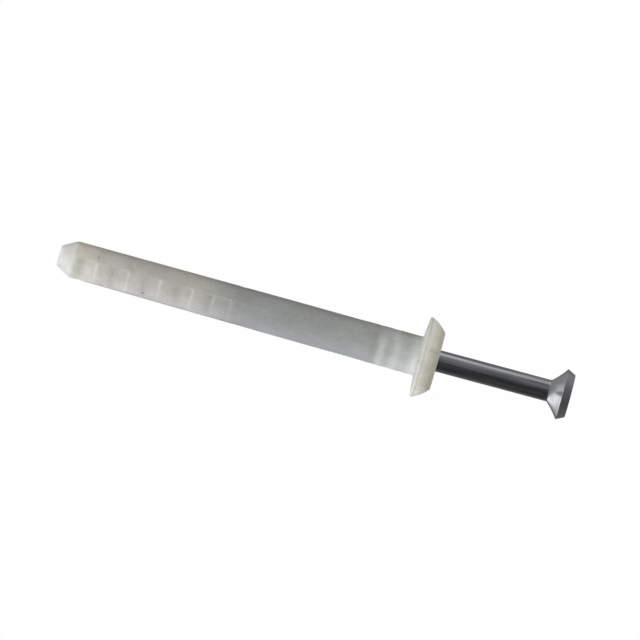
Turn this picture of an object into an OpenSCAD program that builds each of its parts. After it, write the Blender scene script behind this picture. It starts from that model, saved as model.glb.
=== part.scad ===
// Hammer-in wall plug: a moulded nylon sleeve with a domed collar, and a
// countersunk drive nail that stands part way out of it, as it is sold.
// The plug is modelled along X, tip to the left, with X = 0 at the underside
// of the collar, and is then laid on its collar rim and tip shoulder.

/* [Sleeve] */
// Length from the tip face to the underside of the collar
sleeve_l = 76; // [70:1:116]
// Diameter of the plain stretch, equal to the hole that is drilled for it
sleeve_d = 8; // [7.4:0.1:9]
// Length of the plain stretch
plain_l = 13; // [6:1:14]
// Amount by which the neck under the collar is thicker than the plain stretch
neck_gain = 0.15; // [0.05:0.05:0.4]
// Length of the neck
neck_l = 10; // [9.5:0.5:12]
// Length of the cone between the plain stretch and the neck
neck_cone_l = 3; // [1:0.5:5]
// Amount by which the draft of the legs makes the tip shoulder thinner
draft_loss = 0.4; // [0.1:0.05:0.6]
// Length of the lead-in cone at the tip
tip_l = 3; // [1:0.1:3.8]
// Diameter of the flat face at the tip
tip_face_d = 4.2; // [2:0.1:6]

/* [Collar] */
// Diameter of the collar rim
collar_d = 16.8; // [14:0.1:24]
// Height from the underside to the flat face round the mouth
collar_h = 4; // [3:0.05:6]
// Diameter of the flat seat on the underside, inside the relief of the rim
collar_seat_d = 10.6; // [9.6:0.1:13]
// Height of the lower edge of the rim above the seat
collar_relief_h = 0.35; // [0.1:0.05:0.5]
// Height of the upper edge of the rim above the seat
collar_edge_h = 0.85; // [0.6:0.05:1.2]
// Diameter of the flat face at the top of the dome
collar_face_d = 11.9; // [11.4:0.1:13]
// Radius of the fillet between the shank and the underside
collar_fillet_r = 0.4; // [0.1:0.1:1]

/* [Bore] */
// Radial play of the nail in the guide bore
nail_play = 0.35; // [0.1:0.01:0.5]
// Depth of the guide bore below the underside of the collar
guide_l = 39.6; // [30:0.1:44]
// Diameter of the narrow bore, which the nail opens as it is driven in
spread_bore_d = 2.6; // [1.5:0.1:3.5]
// Length of the cone between the guide bore and the narrow bore
bore_step_l = 1.6; // [0.5:0.1:3]
// Solid nose left between the narrow bore and the tip face
nose_l = 5.5; // [4:0.5:8]

/* [Grip rings] */
// Gap between a grip ring and the nail
grip_gap = 0.05; // [0.03:0.01:0.1]
// Radius of the rounded section of a grip ring
grip_ring_r = 0.5; // [0.4:0.05:0.6]
// Distance from the underside of the collar to the nearer ring
grip_ring_from = 5.75; // [4:0.05:6.5]
// Distance between the two rings
grip_ring_pitch = 3.15; // [2.4:0.05:4]

/* [Sink marks] */
// Depth of the shallow ring that the shank sinks to outside each grip ring
sink_depth = 0.1; // [0.05:0.01:0.15]
// Width of a sink mark
sink_w = 1.8; // [1:0.1:2.2]
// Distance from the tip face to the sink mark at the root of the legs
root_sink_from = 38.2; // [37:0.1:42]

/* [Expansion zone] */
// Width of the lengthwise slit between the two legs
slit_w = 0.8; // [0.5:0.1:1.5]
// Distance from the tip face to the start of the slit
slit_from = 6.5; // [6:0.5:10]
// Distance from the tip face to the end of the slit
slit_to = 39.5; // [38:0.5:46]
// Spacing of the recesses along each row
recess_pitch = 6.75; // [6.4:0.05:6.9]
// Length of one recess along the axis
recess_l = 3.75; // [2.5:0.05:4.5]
// Depth of the recesses
recess_depth = 0.3; // [0.1:0.05:0.5]
// Length of the ramp at the tip end of each recess
recess_ramp_l = 0.7; // [0.2:0.1:1.2]
// Distance from the tip face to the first recess of the lower row
recess_from = 4.2; // [3.9:0.05:4.9]
// Number of recesses in each row
recess_count = 4; // [2:1:4]
// Angle that one recess spans, from the parting line towards the slit
recess_span = 76; // [40:1:80]
// Length of the shallow recess at the end of the lower row
runout_l = 5.15; // [3:0.05:5.5]
// Length of the deeper part of that recess
runout_deep_l = 1.45; // [0.8:0.05:2]
// Depth of its shallow part
runout_depth = 0.14; // [0.05:0.01:0.2]

/* [Nail] */
// Length of the nail from its point to the top of its head
nail_l = 71.4; // [60:0.1:80]
// Diameter of the shank
nail_d = 4.5; // [3.6:0.02:4.6]
// Length of the tapered point
point_l = 4.5; // [3:0.5:8]
// Diameter of the blunt end of the point
point_end_d = 0.8; // [0.4:0.1:1.2]
// Gap between the point and the start of the narrow bore
point_gap = 0.1; // [0.05:0.05:1]
// Least gap between the leaning shank and the wall of the guide bore
lean_gap = 0.03; // [0.01:0.01:0.08]

/* [Nail head] */
// Diameter of the head at its rim
head_d = 10.6; // [9:0.1:11]
// Length of the cone under the rim
head_cone_l = 2.7; // [2:0.1:3]
// Length of the tapered land above the rim
head_land_l = 1.7; // [1:0.05:2.5]
// Diameter of the flat struck face
head_face_d = 8.9; // [7:0.1:9.4]
// Radius of the fillet between the shank and the cone
head_fillet_r = 0.8; // [0.3:0.1:1.2]
// Clearance of the countersink round the head
seat_gap = 0.1; // [0.05:0.05:0.3]

/* [Cross recess] */
// Diameter across the wings of the recess at the face
cross_d = 4.8; // [3.5:0.1:6]
// Depth of the recess
cross_depth = 2.3; // [1.5:0.1:2.8]
// Width of a wing
cross_wing_w = 0.9; // [0.6:0.05:1.2]
// Diameter of the round centre at the face
cross_core_d = 2; // [1.4:0.1:2.6]

/* [As it lies] */
// Turn of the plug about its own axis
roll = -63; // [-180:1:180]

/* [Hidden] */
$fn = 120;
cut = 1;

sleeve_r = sleeve_d / 2;
neck_r = sleeve_r + neck_gain / 2;
shoulder_r = sleeve_r - draft_loss / 2;
nail_r = nail_d / 2;
guide_r = nail_r + nail_play;
grip_x = -grip_ring_from - grip_ring_pitch / 2;
plain_from = sleeve_l - neck_l - neck_cone_l - plain_l;

// Radius of the legs and the root at a distance from the tip face: the draft
// runs evenly from the shoulder to the plain stretch.
function body_r(from) = shoulder_r
    + (sleeve_r - shoulder_r) * (from - tip_l) / (plain_from - tip_l);

// The dome is the part of a sphere that passes through the top of the rim's
// edge and the edge of the flat face.
dome_rise = collar_h - collar_edge_h;
dome_x = collar_edge_h + (pow(dome_rise, 2) + pow(collar_face_d / 2, 2)
    - pow(collar_d / 2, 2)) / (2 * dome_rise);
dome_r = norm([collar_d / 2, collar_edge_h - dome_x]);

// A sink mark is an arc of this radius in the outline of the shank.
sink_r = (pow(sink_w / 2, 2) + pow(sink_depth, 2)) / (2 * sink_depth);

// The countersink follows the cone of the head.
head_slope = (head_d / 2 - nail_r) / head_cone_l;
seat_r = head_d / 2 + seat_gap;
seat_l = (seat_r - guide_r) / head_slope;

// The nail goes down to the narrow bore. The grip rings hold it on the axis,
// and it leans until the end of its shank is beside the wall of the bore.
point_x = -guide_l + point_gap;
shank_end_x = point_x + point_l;
head_top_x = point_x + nail_l;
lean = asin((nail_play - lean_gap) / (grip_x - shank_end_x));

// Slope that brings the tip shoulder and the lower edge of the rim to one level
rest_slope = atan((collar_d / 2 - shoulder_r) / (sleeve_l - tip_l + collar_relief_h));

// Lays a plug that is modelled along X on the surface under it.
module laid() {
    rotate([0, -rest_slope, 0]) rotate([roll, 0, 0]) children();
}

// Turns an outline, radius along X and length along Y, about the X axis.
module turned() {
    rotate([0, 90, 0]) rotate_extrude() children();
}

module shank_outline() {
    polygon([
        [0, -sleeve_l],
        [tip_face_d / 2, -sleeve_l],
        [shoulder_r, tip_l - sleeve_l],
        [sleeve_r, plain_from - sleeve_l],
        [sleeve_r, plain_from + plain_l - sleeve_l],
        [neck_r, -neck_l],
        [neck_r, cut / 2],
        [0, cut / 2]
    ]);
}

module collar_outline() {
    intersection() {
        polygon([
            [0, 0],
            [collar_seat_d / 2, 0],
            [collar_d / 2, collar_relief_h],
            [collar_d / 2, collar_h],
            [0, collar_h]
        ]);
        union() {
            square([collar_d / 2, collar_edge_h]);
            translate([0, dome_x]) circle(dome_r);
        }
    }
    translate([neck_r, -collar_fillet_r]) difference() {
        translate([-cut, 0]) square([cut + collar_fillet_r, cut]);
        translate([collar_fillet_r, 0]) circle(collar_fillet_r);
    }
}

module bore_outline() {
    polygon([
        [0, nose_l - sleeve_l],
        [spread_bore_d / 2, nose_l - sleeve_l],
        [spread_bore_d / 2, -guide_l - bore_step_l],
        [guide_r, -guide_l],
        [guide_r, collar_h - seat_l],
        [seat_r, collar_h],
        [seat_r, collar_h + cut],
        [0, collar_h + cut]
    ]);
}

module grip_ring_outlines() {
    for (i = [0, 1])
        translate([nail_r + grip_gap + grip_ring_r, -grip_ring_from - i * grip_ring_pitch])
            circle(grip_ring_r);
}

module sink_outlines() {
    for (i = [0, 1])
        translate([neck_r - sink_depth + sink_r, -grip_ring_from - i * grip_ring_pitch])
            circle(sink_r);
    translate([body_r(root_sink_from) - sink_depth + sink_r, root_sink_from - sleeve_l])
        circle(sink_r);
}

module sleeve_outline() {
    difference() {
        union() {
            shank_outline();
            collar_outline();
        }
        bore_outline();
        sink_outlines();
    }
    grip_ring_outlines();
}

// Slot with round ends that parts the two legs and leaves the nose joined
module slit() {
    slit_r = slit_w / 2;
    translate([-sleeve_l, 0, -sleeve_r - cut]) linear_extrude(sleeve_d + 2 * cut) {
        translate([slit_from + slit_r, -slit_r])
            square([slit_to - slit_from - slit_w, slit_w]);
        translate([slit_from + slit_r, 0]) circle(slit_r);
        translate([slit_to - slit_r, 0]) circle(slit_r);
    }
}

// Outline of a recess that starts at its ramp and ends at a square step, with a
// floor that follows the draft
module recess_outline(from, length, depth) {
    floor_from = from + recess_ramp_l;
    step = from + length;
    translate([0, -sleeve_l]) polygon([
        [body_r(from), from],
        [body_r(floor_from) - depth, floor_from],
        [body_r(step) - depth, step],
        [sleeve_r + cut, step],
        [sleeve_r + cut, from]
    ]);
}

// The same recess in both legs, on one side of the parting line:
// side = 1 for the upper half of the mould, -1 for the lower half
module recess_pair(side, from, length, depth) {
    for (turn = [0, 180 - recess_span])
        rotate([side * turn, 0, 0]) rotate([0, 90, 0])
            rotate([0, 0, side > 0 ? 90 : 90 - recess_span])
                rotate_extrude(angle = recess_span)
                    recess_outline(from, length, depth);
}

module recess_rows() {
    for (i = [0 : recess_count - 1]) {
        recess_pair(-1, recess_from + i * recess_pitch, recess_l, recess_depth);
        recess_pair(1, recess_from + (i + 0.5) * recess_pitch, recess_l, recess_depth);
    }
    runout_from = recess_from + recess_count * recess_pitch;
    recess_pair(-1, runout_from, runout_deep_l, recess_depth);
    recess_pair(-1, runout_from, runout_l, runout_depth);
}

module sleeve() {
    color([0.87, 0.87, 0.82]) laid() difference() {
        turned() sleeve_outline();
        slit();
        recess_rows();
    }
}

module nail_outline() {
    rim_y = nail_l - head_land_l;
    neck_y = rim_y - head_cone_l;
    // The fillet touches the shank and the cone.
    half_turn = atan(head_slope) / 2;
    difference() {
        polygon([
            [0, 0],
            [point_end_d / 2, 0],
            [nail_r, point_l],
            [nail_r, neck_y - head_fillet_r * tan(half_turn)],
            [nail_r + head_fillet_r * tan(half_turn) * sin(2 * half_turn),
                neck_y + head_fillet_r * tan(half_turn) * cos(2 * half_turn)],
            [head_d / 2, rim_y],
            [head_face_d / 2, nail_l],
            [0, nail_l]
        ]);
        translate([nail_r + head_fillet_r, neck_y - head_fillet_r * tan(half_turn)])
            circle(head_fillet_r);
    }
}

// Cross recess: two crossed wings inside a cone, with a round centre
module cross_recess() {
    translate([nail_l, 0, 0]) rotate([0, -90, 0]) {
        intersection() {
            union() {
                for (turn = [0, 90])
                    rotate([0, 0, turn])
                        cube([cross_d + cut, cross_wing_w, 2 * cross_depth], center = true);
            }
            cylinder(h = cross_depth, r1 = cross_d / 2, r2 = cross_wing_w / 2);
        }
        cylinder(h = cross_depth, r1 = cross_core_d / 2, r2 = cross_wing_w / 2);
    }
}

module nail() {
    color([0.66, 0.68, 0.7]) laid()
        translate([grip_x, 0, 0]) rotate([0, -lean, 0]) translate([point_x - grip_x, 0, 0])
            difference() {
                turned() nail_outline();
                cross_recess();
            }
}

sleeve();
nail();
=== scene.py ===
import math

import bpy
import numpy as np
from bpy.props import (FloatProperty, FloatVectorProperty, IntProperty,
                       PointerProperty)
from mathutils import Matrix, Vector


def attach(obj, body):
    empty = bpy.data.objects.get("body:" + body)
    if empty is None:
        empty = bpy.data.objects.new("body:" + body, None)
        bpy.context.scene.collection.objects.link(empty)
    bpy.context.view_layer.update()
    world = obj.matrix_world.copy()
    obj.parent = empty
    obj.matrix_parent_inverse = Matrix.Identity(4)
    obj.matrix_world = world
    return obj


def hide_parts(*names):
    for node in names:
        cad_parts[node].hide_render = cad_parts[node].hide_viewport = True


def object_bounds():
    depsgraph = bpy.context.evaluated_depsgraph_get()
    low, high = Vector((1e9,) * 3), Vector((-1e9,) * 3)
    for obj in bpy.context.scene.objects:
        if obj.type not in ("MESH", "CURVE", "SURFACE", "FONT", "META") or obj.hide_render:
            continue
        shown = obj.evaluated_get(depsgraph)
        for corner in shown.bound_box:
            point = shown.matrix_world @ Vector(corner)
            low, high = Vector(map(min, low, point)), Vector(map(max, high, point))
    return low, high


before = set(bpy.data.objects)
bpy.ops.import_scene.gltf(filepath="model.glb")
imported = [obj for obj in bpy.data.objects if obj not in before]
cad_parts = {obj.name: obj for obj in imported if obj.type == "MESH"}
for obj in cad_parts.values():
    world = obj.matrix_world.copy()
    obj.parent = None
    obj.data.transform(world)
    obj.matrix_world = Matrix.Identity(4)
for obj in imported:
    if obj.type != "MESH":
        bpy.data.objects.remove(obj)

bl_info = {
    "name": "Hammer-in Wall Plug",
    "version": (1, 0, 0),
    "blender": (4, 5, 0),
    "location": "View3D > Sidebar > Wall Plug",
    "description": "Builds a nylon wall plug with its drive nail, and a stage for it",
    "category": "Object",
}

CAD_BOX = [list(corner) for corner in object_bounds()]
MM = 0.001
# Edges that turn by more than SHARP stay sharp. The sine of an angle round the sleeve
# plus ACROSS is -1 at its lower front and 1 at its upper back. The columns of the mesh
# follow the slit up to GIVE_WAY from its middle.
SHARP, ACROSS, GIVE_WAY = math.radians(40), math.radians(13), math.radians(12.5)
# Distances between the mesh's rows: the longest, along the neck, in the bore, and at
# the ends of the recesses
ROW, NECK_ROW, BORE_ROW, FINE_ROW = 0.5 * MM, 0.4 * MM, 0.2 * MM, 0.08 * MM


def size(name, text, value):
    """A length in metres that a user may change."""
    return FloatProperty(name=name, description=text, default=value, min=0.0,
                         precision=5, unit="LENGTH")


def share(name, text, value):
    """A number from 0 to 1."""
    return FloatProperty(name=name, description=text, default=value, min=0.0, max=1.0,
                         subtype="FACTOR")


def turn(name, text, degrees):
    """An angle, kept in radians."""
    return FloatProperty(name=name, description=text, default=math.radians(degrees),
                         subtype="ANGLE", unit="ROTATION")


def tint(name, text, value):
    """A linear colour."""
    return FloatVectorProperty(name=name, description=text, default=value, size=3,
                               min=0.0, max=1.0, subtype="COLOR")


class SleeveSizes(bpy.types.PropertyGroup):
    """Sizes of the moulded sleeve, measured as on the drawing."""

    length: size("Length", "Tip face to the underside of the collar", 0.076)
    diameter: size("Diameter", "Plain stretch, equal to the drilled hole", 0.008)
    plain_length: size("Plain Length", "Length of the plain stretch", 0.013)
    neck_gain: size("Neck Gain", "How much thicker the neck is", 0.00015)
    neck_length: size("Neck Length", "Length of the neck under the collar", 0.010)
    neck_cone: size("Neck Cone", "Plain stretch to the neck", 0.003)
    draft_loss: size("Draft Loss", "How much thinner the tip shoulder is", 0.0004)
    tip_length: size("Tip Length", "Length of the lead-in cone", 0.003)
    tip_face: size("Tip Face", "Diameter of the flat at the tip", 0.0042)
    collar_diameter: size("Collar Diameter", "Diameter of the collar rim", 0.0168)
    collar_height: size("Collar Height", "Underside to the flat face", 0.004)
    collar_seat: size("Collar Seat", "Diameter of the flat seat below", 0.0106)
    collar_relief: size("Collar Relief", "Rim's lower edge above the seat", 0.00035)
    collar_edge: size("Collar Edge", "Rim's upper edge above the seat", 0.00085)
    collar_face: size("Collar Face", "Diameter of the flat face of the dome", 0.0119)
    collar_fillet: size("Collar Fillet", "Fillet under the collar", 0.0004)
    guide_bore: size("Guide Bore", "Diameter of the bore that guides the nail", 0.0052)
    guide_depth: size("Guide Depth", "Depth of the guide bore below the collar", 0.0396)
    spread_bore: size("Spread Bore", "Diameter of the bore that the nail opens", 0.0026)
    bore_step: size("Bore Step", "Length of the cone between the bores", 0.0016)
    nose: size("Nose", "Solid length between the narrow bore and the tip", 0.0055)
    seat_diameter: size("Seat Diameter", "Mouth of the countersink", 0.0108)
    grip_from: size("Grip Rings From", "Collar underside to the first ring", 0.00575)
    grip_pitch: size("Grip Ring Pitch", "Distance between the grip rings", 0.00315)
    grip_radius: size("Grip Ring Radius", "Radius of a grip ring's section", 0.0005)
    grip_gap: size("Grip Gap", "Gap between a grip ring and the nail", 0.00005)
    sink_depth: size("Sink Depth", "Depth of a sink mark", 0.0001)
    sink_width: size("Sink Width", "Width of a sink mark", 0.0018)
    root_sink: size("Root Sink", "Tip face to the sink mark at the leg roots", 0.0382)
    slit_width: size("Slit Width", "Width of the slit between the legs", 0.0008)
    slit_from: size("Slit From", "Tip face to the start of the slit", 0.0065)
    slit_to: size("Slit To", "Tip face to the end of the slit", 0.0395)
    recess_pitch: size("Recess Pitch", "Spacing of the recesses in a row", 0.00675)
    recess_length: size("Recess Length", "Length of one recess", 0.00375)
    recess_depth: size("Recess Depth", "Depth of a recess at its step", 0.0003)
    recess_ramp: size("Recess Ramp", "Length of the ramp at the tip end", 0.0007)
    recess_from: size("Recess From", "Tip face to the first recess below", 0.0042)
    recess_count: IntProperty(name="Recess Count", description="Recesses in a row",
                              default=4, min=1, max=6)
    recess_span: turn("Recess Span", "Angle of a recess from the parting line", 76)
    runout_length: size("Run-out Length", "Length of the last recess below", 0.00515)
    runout_deep: size("Run-out Deep", "Length of its deeper part", 0.00145)
    runout_depth: size("Run-out Depth", "Depth of its shallow part", 0.00014)
    corner: size("Corner Radius", "Rounding of the moulded corners", 0.00022)
    flash: size("Flash Height", "Height of the flash on the parting line", 0.00002)


class NailSizes(bpy.types.PropertyGroup):
    """Sizes of the drive nail, along its own axis from the point."""

    length: size("Length", "Point to the struck face", 0.0714)
    diameter: size("Diameter", "Diameter of the shank", 0.0045)
    point_length: size("Point Length", "Length of the tapered point", 0.0045)
    point_end: size("Point End", "Diameter of the blunt end", 0.0008)
    point_depth: size("Point Depth", "Collar underside to the point", 0.0395)
    head_diameter: size("Head Diameter", "Diameter at the rim", 0.0106)
    head_cone: size("Head Cone", "Length of the cone under the rim", 0.0027)
    head_land: size("Head Land", "Length of the tapered land above it", 0.0017)
    head_face: size("Head Face", "Diameter of the struck face", 0.0089)
    head_fillet: size("Head Fillet", "Fillet between the shank and the cone", 0.0008)
    head_hollow: size("Head Hollow", "How deep the cone is hollowed", 0.00013)
    lean_gap: size("Lean Gap", "Least gap to the wall of the guide bore", 0.00003)
    thread_pitch: size("Thread Pitch", "Distance between the drive threads", 0.0022)
    thread_depth: size("Thread Depth", "Depth of the drive threads", 0.00016)
    thread_length: size("Thread Length", "Threaded length above the point", 0.026)
    cross_diameter: size("Cross Diameter", "Across the wings at the face", 0.0048)
    cross_depth: size("Cross Depth", "Depth of the cross recess", 0.0023)
    cross_wing: size("Cross Wing", "Width of a wing", 0.0009)
    cross_core: size("Cross Core", "Diameter of the round centre", 0.002)


class Finishes(bpy.types.PropertyGroup):
    """Colours and gloss of the nylon and the zinc plating."""

    roll: turn("Roll", "Turn of the plug about its own axis", -63)
    nylon_tip: tint("Tip Nylon", "Nylon of the lead-in cone", (0.51, 0.51, 0.505))
    nylon_nose: tint("Nose Nylon", "Nylon of the solid nose", (0.553, 0.541, 0.495))
    nylon: tint("Nylon", "Nylon of the hollow legs", (0.443, 0.434, 0.411))
    nylon_nail: tint("Nylon Over Nail", "Nylon with the nail behind it",
                     (0.301, 0.313, 0.314))
    nylon_neck: tint("Neck Nylon", "Nylon round the grip rings", (0.48, 0.505, 0.495))
    nylon_rim: tint("Rim Nylon", "Nylon at the rim of the collar", (0.445, 0.45, 0.43))
    nylon_collar: tint("Collar Nylon", "Nylon of the collar's dome",
                       (0.70, 0.70, 0.665))
    nylon_face: tint("Face Nylon", "Nylon round the mouth of the collar",
                     (0.46, 0.45, 0.375))
    # Colour of painted light: along the recess steps and lips, round the grip rings and
    # where the sleeve meets the collar
    nylon_painted_light: tint("Bright Nylon", "Nylon along an edge that light leaves by",
                      (0.65, 0.66, 0.65))
    # Colour of painted shade: where a recess's ramp starts and beside the grip rings
    nylon_painted_shade: tint("Shaded Nylon", "Nylon where the wall gets thinner",
                      (0.30, 0.29, 0.265))
    nylon_roughness: share("Nylon Roughness", "Roughness of the moulded skin", 0.42)
    nylon_gloss: share("Nylon Gloss", "Level of the skin's reflection", 0.50)
    zinc: tint("Zinc", "Bright zinc plating", (0.80, 0.815, 0.84))
    zinc_dark: tint("Dull Zinc", "Plating along the drawing marks",
                    (0.51, 0.525, 0.565))
    zinc_roughness: share("Zinc Roughness", "Roughness of the plating", 0.20)


class StageSettings(bpy.types.PropertyGroup):
    """Camera, floor and lamps."""

    azimuth: turn("Azimuth", "Camera turned from the front towards the head", -4.286)
    elevation: turn("Elevation", "Camera above the horizon", 50)
    tilt: turn("Tilt", "Camera turned about its own line of sight", 21.278)
    distance: size("Distance", "Camera to the point it looks at", 1.6302)
    lens: FloatProperty(name="Lens", description="Focal length on a 36 mm sensor",
                        default=450.0, min=1.0, unit="CAMERA")
    look_at: FloatProperty(name="Look At", description="Place on the plug's axis, from "
                           "the collar's underside", default=-0.02088, unit="LENGTH")
    rise: size("Rise", "How far the line of sight passes above the axis", 0.00171)
    floor_colour: tint("Floor", "Colour of the floor", (0.82, 0.82, 0.82))
    floor_side: size("Floor Side", "Side of the floor", 3.0)
    ambient: FloatProperty(name="Ambient", description="Strength of the even light",
                           default=0.367, min=0.0)
    ambient_tint: tint("Ambient Colour", "Colour of the even light", (1.0, 0.97, 0.87))
    key: FloatProperty(name="Key", description="Power of the lamp beyond the tip",
                       default=5.6, min=0.0, unit="POWER")
    rear: FloatProperty(name="Rear", description="Power of the lamp behind the head",
                        default=1.05, min=0.0, unit="POWER")
    bounce: FloatProperty(name="Bounce", description="Power of the panel in front",
                          default=0.0157, min=0.0, unit="POWER")
    glow: FloatProperty(name="Glow", description="Power of the panel beneath",
                        default=0.0044, min=0.0, unit="POWER")
    bounce_tint: tint("Bounce Colour", "Colour of the panel's light", (0.84, 0.87, 1.0))
    backdrop_radius: size("Backdrop Radius", "Radius of what gloss reflects", 0.5)


def smooth(value):
    """Goes from 0 to 1 with level ends: 3v^2 - 2v^3 of a value clipped to 0..1."""
    value = np.clip(value, 0.0, 1.0)
    return value * value * (3.0 - 2.0 * value)


def bell(value, centre, width):
    """A bell over a value: exp(-d^2), d the distance from the centre in widths."""
    return np.exp(-((value - centre) / width) ** 2)


def rounded(corners, radii, steps=6):
    """Outline through corners with an arc in place of each: on both sides of a corner
    the arc starts radius * tan(half the turn) away, and its points stand at equal
    angles about the centre. A radius of 0 keeps the corner."""
    corners = np.asarray(corners, float)
    pieces = [corners[:1]]
    for before, here, after, radius in zip(corners, corners[1:], corners[2:], radii):
        a = (here - before) / np.linalg.norm(here - before)
        b = (after - here) / np.linalg.norm(after - here)
        bend = math.acos(np.clip(a @ b, -1, 1))
        if radius <= 0 or bend < 1e-4:
            pieces.append(here[None])
            continue
        reach = radius * math.tan(bend / 2)
        side = (b - a * (a @ b)) / math.sin(bend)
        angle = np.linspace(0, bend, steps)[:, None]
        start = here - a * reach
        pieces.append(start + radius * (np.sin(angle) * a + (1 - np.cos(angle)) * side))
    pieces.append(corners[-1:])
    return np.concatenate(pieces)


def divided(outline, longest):
    """The same outline with points added, so that no stretch is over `longest`."""
    gaps = np.linalg.norm(np.diff(outline, axis=0), axis=1)
    along = np.concatenate([[0], np.cumsum(gaps)])
    count = np.maximum(1, np.ceil(gaps / longest).astype(int))
    start = np.repeat(along[:-1], count)
    index = np.arange(count.sum()) - np.repeat(np.cumsum(count) - count, count)
    wanted = np.append(start + index * np.repeat(gaps / count, count), along[-1])
    return np.stack([np.interp(wanted, along, outline[:, k]) for k in (0, 1)], 1)


def stations(low, high, step, marks, reach, fine):
    """Sorted places from low to high: every `step`, and every `fine` within `reach`
    of each mark; places closer than half of `fine` to the one before are dropped."""
    marks = np.asarray(marks, float)
    near = (marks[:, None] + np.arange(-reach, reach + fine / 2, fine)[None]).ravel()
    places = np.concatenate([np.arange(low, high, step), near, marks, [low, high]])
    places = np.sort(places[(places >= low - 1e-9) & (places <= high + 1e-9)])
    keep = np.concatenate([[True], np.diff(places) > 0.5 * fine])
    return places[keep]


def grid_quads(rows, columns):
    """Quads of a grid of rows x columns points that closes on itself sideways."""
    i = np.arange(rows - 1)[:, None] * columns
    j = np.arange(columns)[None]
    k = (j + 1) % columns
    return np.stack([i + j, i + k, i + columns + k, i + columns + j], -1)


def pole_fans(rows, columns):
    """Triangles that close a grid's first and last rows, each all at one point."""
    j = np.arange(columns)
    k = (j + 1) % columns
    last = (rows - 1) * columns
    return np.concatenate([
        np.stack([np.zeros_like(j), columns + k, columns + j], 1),
        np.stack([np.full_like(j, last), last - columns + j, last - columns + k], 1)])


def around(x, radius, angle):
    """Points at x along the axis, at a radius, and at an angle from -Y towards +Z."""
    x, radius, angle = np.broadcast_arrays(x, radius, angle)
    return np.stack([x, -radius * np.cos(angle), radius * np.sin(angle)],
                    -1).reshape(-1, 3)


def solid(name, points, quads, triangles, layers):
    """A mesh object from arrays, without the points that no face uses. `layers` are
    named values of the points."""
    used = np.zeros(len(points), bool)
    used[quads.ravel()] = True
    used[triangles.ravel()] = True
    order = np.cumsum(used) - 1
    mesh = bpy.data.meshes.new(name)
    mesh.from_pydata(points[used].tolist(), [],
                     order[quads].tolist() + order[triangles].tolist())
    for key, values in layers.items():
        flat = values.ndim == 1
        layer = mesh.attributes.new(key, "FLOAT" if flat else "FLOAT_VECTOR", "POINT")
        layer.data.foreach_set("value" if flat else "vector",
                               values[used].astype(np.float32).ravel())
    mesh.polygons.foreach_set("use_smooth", np.ones(len(mesh.polygons), bool))
    mesh.set_sharp_from_angle(angle=SHARP)
    mesh.update()
    if mesh.validate():
        raise RuntimeError(name + " has faces that can't be used")
    return linked(name, mesh)


def laid(points, sleeve, roll):
    """Points of a plug along X, turned about X by the roll and then tipped about Y by
    the slope from the tip shoulder to the collar rim, so both touch the floor."""
    slope = math.atan2(
        sleeve.collar_diameter - sleeve.diameter + sleeve.draft_loss,
        2 * (sleeve.length - sleeve.tip_length + sleeve.collar_relief))
    lay = Matrix.Rotation(-slope, 3, "Y") @ Matrix.Rotation(roll, 3, "X")
    return points @ np.array(lay).T


def body_radius(sleeve, along):
    """Radius of the shank at a distance from the tip face: it grows evenly from the tip
    shoulder to the plain stretch, and over the neck's cone to the neck."""
    half = sleeve.diameter / 2
    neck_from = sleeve.length - sleeve.neck_length
    plain_to = neck_from - sleeve.neck_cone
    places = [sleeve.tip_length, plain_to - sleeve.plain_length, plain_to, neck_from]
    return np.interp(along, places, [half - sleeve.draft_loss / 2, half, half,
                                     half + sleeve.neck_gain / 2])


# Marks of the mould on the wall, and the light and shade painted along them. Places round
# the sleeve are degrees from the slit, so that the parting line is at 90; below and above
# are the two sides of that line.
STEP_EDGE = 0.3 * MM                     # half the length of a recess's step
RAMP_SOFTENING = 1.7                     # how much longer the ramp shows than it is
PARTING_FADE = 9                         # degrees in which a recess gets deep
SHOWN_BELOW, SHOWN_ABOVE = 0.2, 0.05     # share of the recess depth that shows
PAINTED_SHADE_BELOW, PAINTED_SHADE_ABOVE = 0.9, 0.35     # painted shade where a ramp starts, its place, width
SHADE_AT, SHADE_WIDTH = 0.4 * MM, 1.0 * MM
PAINTED_STEP_LIGHT, CREST_WIDTH = 1.1, 0.28 * MM   # painted highlight along a step, and where it grows
CREST_FROM, CREST_OVER, CREST_LEAST = 35, 50, 0.3
# Painted light beside the parting line: its levels, its place and width, how far it
# reaches back from a step and past it, and in what lengths it comes and goes; and its
# trace
PAINTED_LIP_LIGHT, PAINTED_RUNOUT_LIGHT = (0.15, 0.55), 0.6
LIP_AT, TRACE_AT, LIP_WIDTH = 86.5, 84, 3.2
LIP_BACK, LIP_PAST, LIP_RISE, LIP_FALL = 2 * MM, 0.3 * MM, 1.2 * MM, 0.5 * MM
PAINTED_TRACE_LIGHT, TRACE_LENGTH = 0.35, 5 * MM
# Round each grip ring a band of painted light and a darker one of painted shade, partly
# also standing for the whiter thick nylon over the ring: levels, places from the ring and
# widths. The first ring shows less, and both fade out towards the upper back.
RING_LEVELS = (0.8, 1)
PAINTED_RING_LIGHT, RING_LIGHT_AT, RING_LIGHT_WIDTH = 1, 1.15 * MM, 0.75 * MM
PAINTED_RING_SHADE, RING_SHADE_AT, RING_SHADE_WIDTH = 0.6, -0.5 * MM, 0.8 * MM
FLASH_WIDTH = 0.06 * MM
TIP_SLANT = 0.9 * MM                     # half the shift of the tip's colours


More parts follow.
